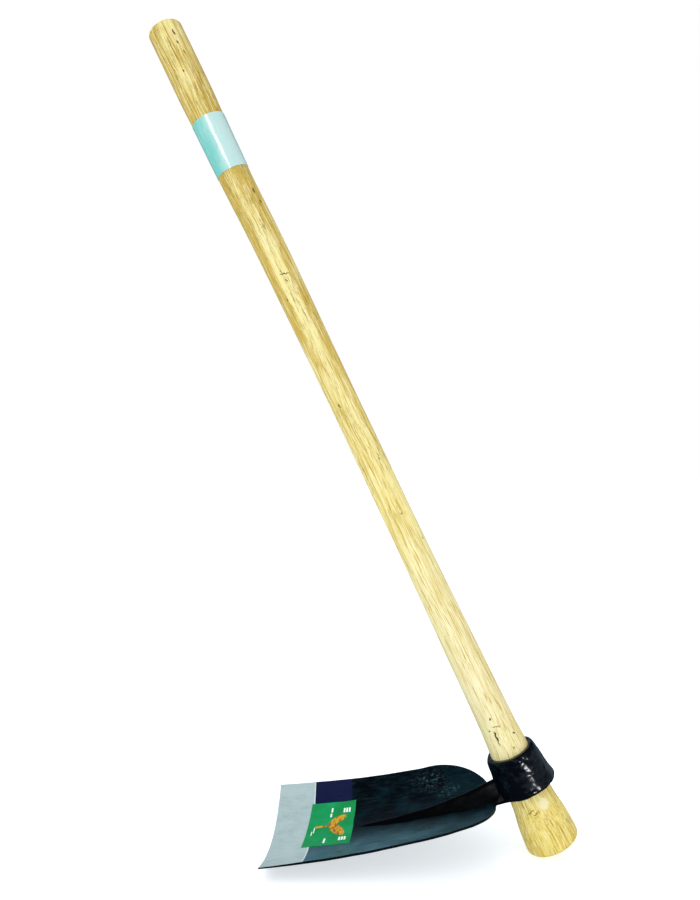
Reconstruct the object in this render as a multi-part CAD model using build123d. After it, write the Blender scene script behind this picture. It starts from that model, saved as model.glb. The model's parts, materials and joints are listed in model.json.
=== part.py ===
from build123d import *
import math
import os

# Grub hoe: a forged eye-hoe head wedged on the flared end of a straight wooden handle.
# Millimetres, +Z up. The hoe stands as it does on level ground, on the rim of the
# handle's knob and the middle of the cutting edge, with the handle leaning over the
# blade (-X). Y runs across the blade. The origin is on the ground under the middle of
# the hoe's outer box.
#
# Everything is built first in the head's frame: Z along the handle towards the grip,
# X away from the blade, and the origin at the centre of the tapered seat's lower end.

# ---- handle -------------------------------------------------------------------------
HANDLE_LENGTH = 1000.0
KNOB_DROP = 72.6            # knob end below the seat's lower end
GRIP_TOP = HANDLE_LENGTH - KNOB_DROP
KNOB_RADIUS = 29.8
KNOB_ROUNDING = 5.0
SEAT_LOW_RADIUS = 23.4      # tapered seat inside the eye, at its lower end
SEAT_HIGH_RADIUS = 21.8     # and at the eye's upper rim
LABEL_LOW = 749.0
LABEL_HIGH = 813.0
LABEL_LOW_RADIUS = 18.0     # wood under the label, which is wound on a slight cone
LABEL_HIGH_RADIUS = 18.8
LABEL_THICKNESS = 0.25
GRIP_LOW = 845.0            # the grip's end stretch is a true cylinder
GRIP_RADIUS = 19.4
GRIP_ROUNDING = 4.0
SHAFT_WAIST = [             # radius of the hand-shaved shaft at heights above the eye
    (78.0, 20.2), (160.0, 18.9), (280.0, 17.2), (400.0, 16.2), (520.0, 16.3), (640.0, 17.3),
]
KNOB_FLARE = [(-24.5, 25.1), (-41.0, 27.9), (-58.0, 29.4)]

# ---- eye ring -----------------------------------------------------------------------
EYE_HEIGHT = 40.1           # upper rim above the origin, where the tapered seat starts
EYE_SKIRT = 2.8             # how far the lower rim hangs below the seat
EYE_LOW_RADIUS = 34.2
EYE_HIGH_RADIUS = 27.5
EYE_RIM_ROUNDING = 2.4
SEAT_CLEARANCE = 0.05       # between the wood and the eye, on the radius

# ---- blade --------------------------------------------------------------------------
BLADE_ANGLE = 73.23         # between the handle's axis and the blade's plane
BLADE_REACH = 286.9         # cutting edge from the handle's axis
BLADE_DROP = 23.0           # lowest line of the inner face, below the origin
BLADE_THICKNESS = 2.5
EDGE_THICKNESS = 1.4
EDGE_WEAR = 0.8             # middle of the edge worn flat, where it meets the ground
EDGE_HALF_WIDTH = 97.2
SHOULDER_HALF_WIDTH = 85.2
SHOULDER_RADIUS = 68.0
SHOULDER_REACH = 105.4      # centre of the shoulder's curve, from the handle's axis
SHOULDER_END = 24.0         # half width where that curve turns into the neck
GROUND_REACH = 242.5        # where the ground bevel starts
BOW_RADIUS = 1155.0         # hollow of the inner face along the blade
BOW_REACH = 204.8           # deepest point of that hollow
DISH_RADIUS = 256.5         # hollow across the blade, at that point
DISH_OPENING = 0.285        # growth of that radius with reach, in millimetres a millimetre
PLATE_MARGIN = 17.0         # how far the blank runs past the outline
BLANK_REACHES = (5.0, 80.0, 155.0, 230.0, 305.0)    # stations where the blank's section is drawn
NECK_HALF_WIDTH = 16.5      # tongue of the plate, where it meets the eye
TONGUE_REACH = 30.0         # where the neck's curve has come down to that width
TRIM_DEPTH = 60.0           # how far an outline is pushed up and down to trim the plate

# ---- rib ----------------------------------------------------------------------------
# reach from the handle's axis, half width on the plate, height of the crest above the
# plate, radius of the rounded crest
RIB_STATIONS = [
    (20.0, 18.5, 18.4, 9.0),
    (43.0, 16.5, 16.8, 7.0),
    (72.0, 13.0, 11.2, 4.5),
    (105.0, 10.0, 6.6, 3.2),
    (150.0, 7.5, 3.0, 2.2),
    (194.0, 4.0, 0.2, 1.4),
]
RIB_BITE = 2.0              # how far the sections run on below the plate's inner face
RIB_CLEARANCE = 0.02        # between the rib's foot and the plate

# ---- blade sticker ------------------------------------------------------------------
STICKER_LENGTH = 52.0       # along the blade
STICKER_WIDTH = 89.0        # across it
STICKER_REACH = 222.3       # its middle, from the handle's axis
STICKER_OFFSET = 7.5        # its middle, from the blade's middle line towards +Y
STICKER_TURN = 3.6
STICKER_TORN = (5.0, 15.0)  # torn corner, along and across
STICKER_THICKNESS = 0.3


def blade_plane():
    """Plane at the deepest point of the blade's inner face, X out along the blade."""
    lean = math.radians(BLADE_ANGLE)
    out = Vector(-math.sin(lean), 0, math.cos(lean))
    normal = Vector(math.cos(lean), 0, math.sin(lean))
    return Plane(origin=out * BOW_REACH - normal * BLADE_DROP, x_dir=out, z_dir=normal)


def handle():
    """Turned profile of the handle: knob, tapered seat, shaved shaft and grip."""
    seat_slope = Vector(SEAT_HIGH_RADIUS - SEAT_LOW_RADIUS, EYE_HEIGHT)
    knob_end = (KNOB_RADIUS, -KNOB_DROP)
    seat_low = (SEAT_LOW_RADIUS, 0)
    seat_high = (SEAT_HIGH_RADIUS, EYE_HEIGHT)
    label_low = (LABEL_LOW_RADIUS, LABEL_LOW)
    label_high = (LABEL_HIGH_RADIUS, LABEL_HIGH)
    label_slope = Vector(*label_high) - Vector(*label_low)
    flare = [knob_end] + [(r, z) for z, r in reversed(KNOB_FLARE)] + [seat_low]
    shaft = [seat_high] + [(r, z) for z, r in SHAFT_WAIST] + [label_low]
    outline = [
        Line((0, -KNOB_DROP), knob_end),
        Spline(flare, tangents=[(0, 1), seat_slope]),
        Line(seat_low, seat_high),
        Spline(shaft, tangents=[seat_slope, label_slope]),
        Line(label_low, label_high),
        Spline([label_high, (GRIP_RADIUS, GRIP_LOW)], tangents=[label_slope, (0, 1)]),
        Line((GRIP_RADIUS, GRIP_LOW), (GRIP_RADIUS, GRIP_TOP)),
        Line((GRIP_RADIUS, GRIP_TOP), (0, GRIP_TOP)),
        Line((0, GRIP_TOP), (0, -KNOB_DROP)),
    ]
    turned = revolve(Plane.XZ * make_face(outline), Axis.Z)
    ends = turned.faces().filter_by(GeomType.PLANE).sort_by(Axis.Z)
    turned = fillet(ends[0].edges(), KNOB_ROUNDING)
    ends = turned.faces().filter_by(GeomType.PLANE).sort_by(Axis.Z)
    return fillet(ends[-1].edges(), GRIP_ROUNDING)


def handle_label():
    """Film band wound round the handle below the grip."""
    outline = Polyline(
        (LABEL_LOW_RADIUS, LABEL_LOW),
        (LABEL_LOW_RADIUS + LABEL_THICKNESS, LABEL_LOW),
        (LABEL_HIGH_RADIUS + LABEL_THICKNESS, LABEL_HIGH),
        (LABEL_HIGH_RADIUS, LABEL_HIGH),
        close=True,
    )
    return revolve(Plane.XZ * make_face(outline), Axis.Z)


def eye_cone():
    """Outside of the eye, as a solid cone."""
    middle = Pos(0, 0, (EYE_HEIGHT - EYE_SKIRT) / 2)
    return middle * Cone(EYE_LOW_RADIUS, EYE_HIGH_RADIUS, EYE_HEIGHT + EYE_SKIRT)


def eye_room():
    """Space that the eye and the knob under it need kept clear."""
    below = Pos(0, 0, -KNOB_DROP / 2) * Cylinder(EYE_LOW_RADIUS, KNOB_DROP)
    return eye_cone() + below


def eye_ring():
    """Forged collar with a tapered bore that wedges on the handle."""
    taper = (SEAT_LOW_RADIUS - SEAT_HIGH_RADIUS) / EYE_HEIGHT
    low = SEAT_LOW_RADIUS + SEAT_CLEARANCE + taper * EYE_SKIRT
    high = SEAT_HIGH_RADIUS + SEAT_CLEARANCE
    bore = Pos(0, 0, (EYE_HEIGHT - EYE_SKIRT) / 2) * Cone(low, high, EYE_HEIGHT + EYE_SKIRT)
    ring = fillet(eye_cone().edges().filter_by(GeomType.CIRCLE), EYE_RIM_ROUNDING)
    return ring - bore


def bow_level(reach):
    """Height of the inner face's middle line above its deepest point."""
    return BOW_RADIUS - math.sqrt(BOW_RADIUS**2 - (reach - BOW_REACH) ** 2)


def dish_radius(reach):
    """Radius of the hollow across the blade, which opens out towards the edge."""
    return DISH_RADIUS + DISH_OPENING * (reach - BOW_REACH)


def lofted_along_bow(section, blank_half):
    """Loft a cross-section that is drawn for each dish radius along the blade's bow."""
    sections = []
    for reach in BLANK_REACHES:
        place = Pos(reach - BOW_REACH, 0, bow_level(reach))
        face = Plane.YZ * make_face(section(dish_radius(reach), blank_half))
        sections.append(place * face)
    return loft(sections)


def shell_section(radius, half):
    """Curved strip of even thickness."""
    rise = radius - math.sqrt(radius**2 - half**2)
    outer = half * (radius + BLADE_THICKNESS) / radius
    drop = radius - math.sqrt((radius + BLADE_THICKNESS) ** 2 - outer**2)
    return [
        ThreePointArc((-half, rise), (0, 0), (half, rise)),
        Line((half, rise), (outer, drop)),
        ThreePointArc((outer, drop), (0, -BLADE_THICKNESS), (-outer, drop)),
        Line((-outer, drop), (-half, rise)),
    ]


def hollow_section(radius, half):
    """Everything above the curved strip, up to twice its rise."""
    rise = radius - math.sqrt(radius**2 - half**2)
    return [
        ThreePointArc((-half, rise), (0, 0), (half, rise)),
        Polyline((half, rise), (half, 2 * rise), (-half, 2 * rise), (-half, rise)),
    ]


def dished_shell():
    """Plate of even thickness, hollow across and along, in the blade's frame."""
    return lofted_along_bow(shell_section, EDGE_HALF_WIDTH + PLATE_MARGIN)


def hollow_above():
    """Everything above the blade's inner face."""
    return lofted_along_bow(hollow_section, EDGE_HALF_WIDTH + PLATE_MARGIN)


def blade_outline():
    """Outline of the plate seen square on: straight edge, round shoulders, tongue."""
    edge = BLADE_REACH - BOW_REACH
    shoulder = SHOULDER_REACH - BOW_REACH
    inset = SHOULDER_HALF_WIDTH - SHOULDER_RADIUS
    flare = math.atan2(EDGE_HALF_WIDTH - SHOULDER_HALF_WIDTH, edge - shoulder)
    start = math.pi / 2 - flare
    end = math.pi - math.asin((SHOULDER_END - inset) / SHOULDER_RADIUS)
    top, side, back = (
        (shoulder + SHOULDER_RADIUS * math.cos(turn), inset + SHOULDER_RADIUS * math.sin(turn))
        for turn in (start, (start + end) / 2, end)
    )
    waist = (TONGUE_REACH - BOW_REACH, NECK_HALF_WIDTH)
    half = [
        Line((edge, 0), (edge, EDGE_HALF_WIDTH)),
        Line((edge, EDGE_HALF_WIDTH), top),
        ThreePointArc(top, side, back),
        Spline([back, waist], tangents=[(-math.sin(end), math.cos(end)), (-1, 0)]),
        Line(waist, (-BOW_REACH, NECK_HALF_WIDTH)),
        Line((-BOW_REACH, NECK_HALF_WIDTH), (-BOW_REACH, 0)),
        Line((-BOW_REACH, 0), (edge, 0)),
    ]
    face = make_face(half)
    return face + mirror(face, Plane.XZ)


def blade():
    """Dished plate with the ground bevel, cut away where the eye stands."""
    pivot = Axis((GROUND_REACH - BOW_REACH, 0, bow_level(GROUND_REACH)), (0, 1, 0))
    tip = math.degrees(math.atan2(BLADE_THICKNESS - EDGE_THICKNESS, BLADE_REACH - GROUND_REACH))
    bevel = hollow_above().rotate(pivot, tip)
    plate = dished_shell() & extrude(blade_outline(), amount=TRIM_DEPTH, both=True)
    return blade_plane().location * (plate - bevel) - eye_room()


def rib_section(half, crest, nose):
    """Tent-shaped section with a rounded crest, its foot a little under the plate."""
    slope = (half - nose) / crest
    foot = half + RIB_BITE * slope
    lean = math.atan(slope)
    side = (nose * math.cos(lean), crest - nose + nose * math.sin(lean))
    return [
        Line((-foot, -RIB_BITE), (foot, -RIB_BITE)),
        Line((foot, -RIB_BITE), side),
        ThreePointArc(side, (0, crest), (-side[0], side[1])),
        Line((-side[0], side[1]), (-foot, -RIB_BITE)),
    ]


def neck_rib():
    """Forged tongue from the eye, tapering to a point along the middle of the plate."""
    sections = []
    for reach, half, crest, nose in RIB_STATIONS:
        place = Pos(reach - BOW_REACH, 0, bow_level(reach))
        sections.append(place * (Plane.YZ * make_face(rib_section(half, crest, nose))))
    tongue = loft(sections) & (Pos(0, 0, RIB_CLEARANCE) * hollow_above())
    return blade_plane().location * tongue - eye_room()


def blade_sticker(plate):
    """Paper sticker that follows the plate and its bevel, with one torn corner."""
    frame = blade_plane()
    lifted = Pos(*(frame.z_dir * STICKER_THICKNESS)) * plate
    length = STICKER_LENGTH / 2
    width = STICKER_WIDTH / 2
    sheet = Polyline(
        (-length, -width),
        (length - STICKER_TORN[0], -width),
        (length, STICKER_TORN[1] - width),
        (length, width),
        (-length, width),
        close=True,
    )
    place = Pos(STICKER_REACH - BOW_REACH, -STICKER_OFFSET, 0) * Rot(0, 0, -STICKER_TURN)
    prism = extrude(place * make_face(sheet), amount=TRIM_DEPTH, both=True)
    return (lifted - plate) & (frame.location * prism)


def standing():
    """Turn and lift that stand the hoe on its knob and the worn middle of its edge."""
    reach = BLADE_REACH - BOW_REACH
    under = bow_level(BLADE_REACH) - BLADE_THICKNESS
    edge = blade_plane().from_local_coords(Vector(reach, 0, under))
    run = edge.X + KNOB_RADIUS - KNOB_ROUNDING
    rise = edge.Z + KNOB_DROP - KNOB_ROUNDING
    lean = math.atan2(rise, -run) + math.asin((KNOB_ROUNDING + EDGE_WEAR) / math.hypot(run, rise))
    ground = edge.X * math.sin(lean) + edge.Z * math.cos(lean) + EDGE_WEAR
    return Pos(0, 0, -ground) * Rot(0, -math.degrees(lean), 0)


def main():
    """Build the pieces, stand them up and write one STEP for each."""
    plate = blade()
    pieces = {
        "handle": handle(),
        "handle_label": handle_label(),
        "eye_ring": eye_ring(),
        "neck_rib": neck_rib(),
        "blade": plate,
        "blade_sticker": blade_sticker(plate),
    }
    place = standing()
    box = Compound(children=[place * piece for piece in pieces.values()]).bounding_box()
    place = Pos(-box.center().X, 0, 0) * place
    pieces = {name: place * piece for name, piece in pieces.items()}
    below_ground = Pos(0, 0, -KNOB_DROP / 2) * Box(HANDLE_LENGTH, HANDLE_LENGTH, KNOB_DROP)
    pieces["blade"] -= below_ground
    os.makedirs("parts", exist_ok=True)
    for name, piece in pieces.items():
        export_step(piece, f"parts/{name}.step")


main()
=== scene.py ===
"""Looks of the grub hoe: handle, label, eye ring, neck and rib, blade and sticker.

Each piece is shaped on the bench in the head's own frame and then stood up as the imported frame
stands. In the head's frame Z runs along the handle towards the grip, X points away from the
blade, and the origin is the centre of the lower end of the handle's tapered seat. Lengths are
in metres, and colours are linear.
"""

import json
import logging
import math
from collections.abc import Callable, Sequence
from dataclasses import dataclass, field
from enum import Enum

import bmesh
import bpy
from mathutils import Euler, Matrix, Vector


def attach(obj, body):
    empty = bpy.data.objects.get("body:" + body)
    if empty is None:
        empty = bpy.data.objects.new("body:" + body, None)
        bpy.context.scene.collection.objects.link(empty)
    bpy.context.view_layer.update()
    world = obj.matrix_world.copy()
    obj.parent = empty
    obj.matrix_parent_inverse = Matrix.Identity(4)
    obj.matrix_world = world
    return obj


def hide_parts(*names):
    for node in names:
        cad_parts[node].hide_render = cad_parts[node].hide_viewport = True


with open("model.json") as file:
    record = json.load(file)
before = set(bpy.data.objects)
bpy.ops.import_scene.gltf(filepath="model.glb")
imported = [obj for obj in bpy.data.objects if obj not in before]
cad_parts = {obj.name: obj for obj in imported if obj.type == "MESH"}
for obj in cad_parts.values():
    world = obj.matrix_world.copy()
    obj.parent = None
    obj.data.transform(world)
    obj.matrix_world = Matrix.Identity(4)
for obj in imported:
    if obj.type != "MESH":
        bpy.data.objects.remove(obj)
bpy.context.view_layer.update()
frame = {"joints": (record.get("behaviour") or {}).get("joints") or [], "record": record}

log = logging.getLogger("grub_hoe")

Pair = tuple[float, float]
Triple = tuple[float, float, float]
Colour = tuple[float, float, float, float]
Piece = bpy.types.Object
Material = bpy.types.Material
Socket = bpy.types.NodeSocket
Test = Callable[[Vector], bool]

MERGE_DISTANCE = 2e-6       # points closer than this are one
PATTERN_ORIGIN = (0.37, 0.21, 0.13)     # keeps the cloud pattern's own seams off the pieces


class Slot(Enum):
    """Material slots of the record."""

    WOOD = "handle_wood"
    LABEL = "label_film"
    EYE = "eye_paint"
    RIB = "rib_paint"
    BLADE = "blade_paint"
    STICKER = "sticker_paper"


class Body(Enum):
    """Bodies that pieces ride on."""

    HANDLE = "handle"
    HEAD = "head"


class Axis(Enum):
    """World axes, as vectors."""

    X = (1.0, 0.0, 0.0)
    Y = (0.0, 1.0, 0.0)
    Z = (0.0, 0.0, 1.0)


# ---- small helpers --------------------------------------------------------------------


def tone(red: int, green: int, blue: int) -> Colour:
    """Linear colour of a screen tone.

    Args:
        red: Red, 0 to 255.
        green: Green, 0 to 255.
        blue: Blue, 0 to 255.

    Returns:
        The linear colour, with full alpha.
    """
    def linear(level: int) -> float:
        """Linear value of one screen level."""
        share = level / 255
        return share / 12.92 if share <= 0.04045 else ((share + 0.055) / 1.055) ** 2.4

    return (linear(red), linear(green), linear(blue), 1.0)


def smooth_through(stations: Sequence[Pair], place: float) -> float:
    """Value of a smooth curve that passes through every station.

    Args:
        stations: Places and values, in rising order of place.
        place: Where the curve is read.

    Returns:
        The curve's value there.
    """
    last = len(stations) - 1
    index = max(i for i in range(last) if i == 0 or stations[i][0] <= place)
    (left, low), (right, high) = stations[index], stations[index + 1]

    def slope(at: int) -> float:
        """Slope of the curve at one station."""
        before, after = stations[max(at - 1, 0)], stations[min(at + 1, last)]
        return (after[1] - before[1]) / (after[0] - before[0])

    run = right - left
    share = min(max((place - left) / run, 0.0), 1.0)
    square, cube = share * share, share**3
    return (
        (2 * cube - 3 * square + 1) * low
        + (cube - 2 * square + share) * run * slope(index)
        + (3 * square - 2 * cube) * high
        + (cube - square) * run * slope(index + 1)
    )


def steps(start: float, end: float, pitch: float) -> list[float]:
    """Even steps from start up to, and not including, end."""
    count = max(1, round(abs(end - start) / pitch))
    return [start + (end - start) * i / count for i in range(count)]


# ---- bench work -----------------------------------------------------------------------


def clear_selection() -> None:
    """Deselect every object."""
    if bpy.context.object and bpy.context.object.mode != "OBJECT":
        bpy.ops.object.mode_set(mode="OBJECT")
    bpy.ops.object.select_all(action="DESELECT")


def take(piece: Piece) -> None:
    """Make a piece the only selected and active object."""
    clear_selection()
    piece.select_set(True)
    bpy.context.view_layer.objects.active = piece


def edit(piece: Piece) -> None:
    """Enter edit mode on a piece, in vertex selection."""
    take(piece)
    bpy.ops.object.mode_set(mode="EDIT")
    bpy.ops.mesh.select_mode(type="VERT")


def leave() -> None:
    """Go back to object mode."""
    bpy.ops.object.mode_set(mode="OBJECT")


def select_all() -> None:
    """Select the whole mesh that is in edit mode."""
    bpy.ops.mesh.select_all(action="SELECT")


def pick(piece: Piece, test: Test) -> int:
    """Select the vertices whose place passes a test, and nothing else.

    Args:
        piece: The piece in edit mode.
        test: Says of a vertex's place whether it is wanted.

    Returns:
        How many vertices are selected.
    """
    mesh = bmesh.from_edit_mesh(piece.data)
    for vert in mesh.verts:
        vert.select = test(vert.co)
    mesh.select_flush_mode()
    bmesh.update_edit_mesh(piece.data)
    return sum(vert.select for vert in mesh.verts)


def grow(move: Vector, stretch: Vector, about: Vector) -> None:
    """Extrude the selection, move it, and stretch it about a point.

    Args:
        move: How far the new edge goes.
        stretch: Its scale on each axis.
        about: The point it is scaled about, after the move.
    """
    bpy.ops.mesh.extrude_region_move(TRANSFORM_OT_translate={"value": tuple(move)})
    bpy.ops.transform.resize(value=tuple(stretch), center_override=tuple(about))


def heal() -> None:
    """Merge doubled points of the whole mesh and turn its faces outwards."""
    select_all()
    bpy.ops.mesh.remove_doubles(threshold=MERGE_DISTANCE)
    bpy.ops.mesh.normals_make_consistent(inside=False)


def apply_all(piece: Piece) -> None:
    """Apply a piece's modifiers, in their order."""
    take(piece)
    for modifier in list(piece.modifiers):
        bpy.ops.object.modifier_apply(modifier=modifier.name)


def soften(piece: Piece, degrees: float = 38.0) -> None:
    """Shade a piece smooth, with edges sharper than an angle kept."""
    take(piece)
    bpy.ops.object.shade_smooth_by_angle(angle=math.radians(degrees))


def weigh(piece: Piece, name: str, share: Callable[[Vector], float]) -> str:
    """Give a piece a vertex group whose weight is worked out from each vertex's place.

    Args:
        piece: The piece, in object mode.
        name: The group's name.
        share: Weight, 0 to 1, at a place.

    Returns:
        The group's name.
    """
    group = piece.vertex_groups.new(name=name)
    for vert in piece.data.vertices:
        group.add([vert.index], min(max(share(vert.co), 0.0), 1.0), "REPLACE")
    return name


def roughen(
    piece: Piece, grain: float, height: float, group: str, stretch: Triple,
    depth: int = 1, middle: float = 0.5,
) -> None:
    """Press an uneven surface into a piece.

    Args:
        piece: The piece, in object mode and in bench coordinates.
        grain: Size of the bumps.
        height: Height from the lowest hollow to the highest bump.
        group: Vertex group that limits it.
        stretch: How much longer the bumps are on each axis.
        depth: How many finer layers are added.
        middle: Share of the height that lies under the old surface.
    """
    pattern = bpy.data.textures.new(f"{piece.name}_unevenness", "CLOUDS")
    pattern.noise_scale = grain
    pattern.noise_depth = depth
    clear_selection()
    bpy.ops.object.empty_add(location=PATTERN_ORIGIN)
    guide = bpy.context.object
    guide.scale = stretch
    bpy.context.view_layer.update()
    modifier = piece.modifiers.new("unevenness", "DISPLACE")
    modifier.texture = pattern
    modifier.texture_coords = "OBJECT"
    modifier.texture_coords_object = guide
    modifier.strength = height
    modifier.mid_level = middle
    modifier.vertex_group = group
    apply_all(piece)
    bpy.data.objects.remove(guide)


@dataclass(frozen=True)
class Ring:
    """One ring of a turned piece.

    Attributes:
        height: Along the piece's axis.
        radius: Of the ring.
        off_axis: How far its middle is off the axis, along X.
    """

    height: float
    radius: float
    off_axis: float = 0.0


def turn(
    name: str, rings: Sequence[Ring], around: int, closed_wall: bool = False,
) -> Piece:
    """Build a round piece ring by ring, as on a lathe.

    Args:
        name: The piece's name.
        rings: Its rings, in order along the surface.
        around: Number of points round each ring.
        closed_wall: Whether the last ring runs back to the first, as on a hollow collar.

    Returns:
        The new piece, in bench coordinates.
    """
    clear_selection()
    first = rings[0]
    bpy.ops.mesh.primitive_circle_add(
        vertices=around, radius=first.radius, location=(0, 0, 0),
        fill_type="NOTHING" if closed_wall else "TRIFAN",
    )
    piece = bpy.context.object
    piece.name = piece.data.name = name
    edit(piece)
    select_all()
    bpy.ops.transform.translate(value=(first.off_axis, 0, first.height))
    pick(piece, lambda co: math.hypot(co.x - first.off_axis, co.y) > first.radius * 0.5)
    loop = list(rings[1:]) + ([first] if closed_wall else [])
    before = first
    for ring in loop:
        share = ring.radius / before.radius
        grow(
            Vector((ring.off_axis - before.off_axis, 0, ring.height - before.height)),
            Vector((share, share, 1)),
            Vector((ring.off_axis, 0, ring.height)),
        )
        before = ring
    if not closed_wall:
        bpy.ops.mesh.extrude_region_move()
        bpy.ops.mesh.merge(type="COLLAPSE")
    heal()
    leave()
    return piece


def rounded(
    corner: Pair, radius: float, start: float, end: float, count: int,
) -> list[Ring]:
    """Rings of a rounded rim.

    Args:
        corner: Radius and height of the rounding's centre.
        radius: The rounding's radius.
        start: First angle, in degrees, from the outward direction towards the top.
        end: Last angle.
        count: Number of rings.

    Returns:
        The rings, from the first angle to the last.
    """
    made = []
    for index in range(count):
        angle = math.radians(start + (end - start) * index / (count - 1))
        made.append(Ring(
            corner[1] + radius * math.sin(angle), corner[0] + radius * math.cos(angle),
        ))
    return made


def chain(name: str, across: int) -> Piece:
    """A straight chain of edges one unit to each side along Y, to be shaped and extruded.

    Args:
        name: The new piece's name.
        across: Number of edges in the chain.

    Returns:
        The piece, whose only points are the chain's.
    """
    clear_selection()
    bpy.ops.mesh.primitive_grid_add(x_subdivisions=1, y_subdivisions=across, size=2)
    piece = bpy.context.object
    piece.name = piece.data.name = name
    edit(piece)
    pick(piece, lambda co: co.x > 0.5)
    bpy.ops.mesh.delete(type="VERT")
    select_all()
    bpy.ops.transform.translate(value=(1, 0, 0))
    return piece


def raise_pairs(
    piece: Piece, across: int, profile: Callable[[float], Pair],
) -> None:
    """Shape a chain's points, in pairs either side of its middle.

    Args:
        piece: The chain, in edit mode.
        across: Number of edges in it.
        profile: Sideways place and height for a share from 0 in the middle to 1 at the ends.
    """
    half = across // 2
    for index in range(half, -1, -1):
        share = index / half
        side, height = profile(share)
        near, flat = 0.25 / half, 1e-9
        pick(piece, lambda co: abs(abs(co.y) - share) < near and abs(co.z) < flat)
        if share > 0:
            bpy.ops.transform.resize(value=(1, side / share, 1), center_override=(0, 0, 0))
        bpy.ops.transform.translate(value=(0, 0, height))


# ---- stance ---------------------------------------------------------------------------


@dataclass
class Stance:
    """How the head's frame stands in the world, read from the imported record.

    Attributes:
        knob_drop: Knob end below the seat's lower end.
        upright: The handle's axis.
        origin: Centre of the seat's lower end.
    """

    knob_drop: float = 0.0726
    upright: Vector = field(init=False)
    origin: Vector = field(init=False)

    def __post_init__(self) -> None:
        """Read the slide's axis and the knob's face."""
        joint = next(j for j in frame["joints"] if j["name"] == "head_slide")
        self.upright = Vector(joint["axis"]).normalized()
        knob = next(m for m in frame["record"]["mounts"] if m["name"] == "knob_end")
        self.origin = Vector(knob["pos_m"]) + self.upright * self.knob_drop

    @property
    def matrix(self) -> Matrix:
        """Matrix that stands a bench piece up."""
        along = Vector((self.upright.z, 0, -self.upright.x))
        turned = Matrix((along, Vector(Axis.Y.value), self.upright)).transposed()
        return Matrix.Translation(self.origin) @ turned.to_4x4()

    def stand(self, piece: Piece, bench: Matrix | None = None) -> None:
        """Move a finished piece from the bench to its place, in its mesh.

        Args:
            piece: The piece.
            bench: Where its own bench stands in the head's frame, if it has one.
        """
        take(piece)
        piece.matrix_world = self.matrix @ (bench or Matrix.Identity(4))
        bpy.ops.object.transform_apply(location=True, rotation=True, scale=True)


@dataclass(frozen=True)
class PlateFrame:
    """The blade's own bench: X out along the blade, Z off its hollow face.

    Attributes:
        angle: Between the handle's axis and the blade, in degrees.
        reach: Deepest point of the bow, from the handle's axis.
        drop: That point below the origin of the head's frame.
        dish: Radius of the hollow across the blade, at that point.
        opening: How much that radius grows with each metre of reach.
        bow: Radius of the hollow along it.
    """

    angle: float = 73.23
    reach: float = 0.2048
    drop: float = 0.0230
    dish: float = 0.2565
    opening: float = 0.285
    bow: float = 1.155

    @property
    def matrix(self) -> Matrix:
        """The bench's place in the head's frame."""
        lean = math.radians(self.angle)
        out = Vector((-math.sin(lean), 0, math.cos(lean)))
        normal = Vector((math.cos(lean), 0, math.sin(lean)))
        turned = Matrix((out, normal.cross(out), normal)).transposed().to_4x4()
        return Matrix.Translation(out * self.reach - normal * self.drop) @ turned

    def level(self, reach: float) -> float:
        """Height of the hollow face's middle line at a reach from the handle."""
        return self.bow - math.sqrt(self.bow**2 - (reach - self.reach) ** 2)

    def radius(self, reach: float) -> float:
        """Radius of the hollow across the blade at a reach from the handle."""
        return self.dish + self.opening * (reach - self.reach)

    def rise(self, reach: float, side: float) -> float:
        """Height of the hollow face above its middle line, to one side."""
        return side * side / (2 * self.radius(reach))


# ---- node work ------------------------------------------------------------------------


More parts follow.
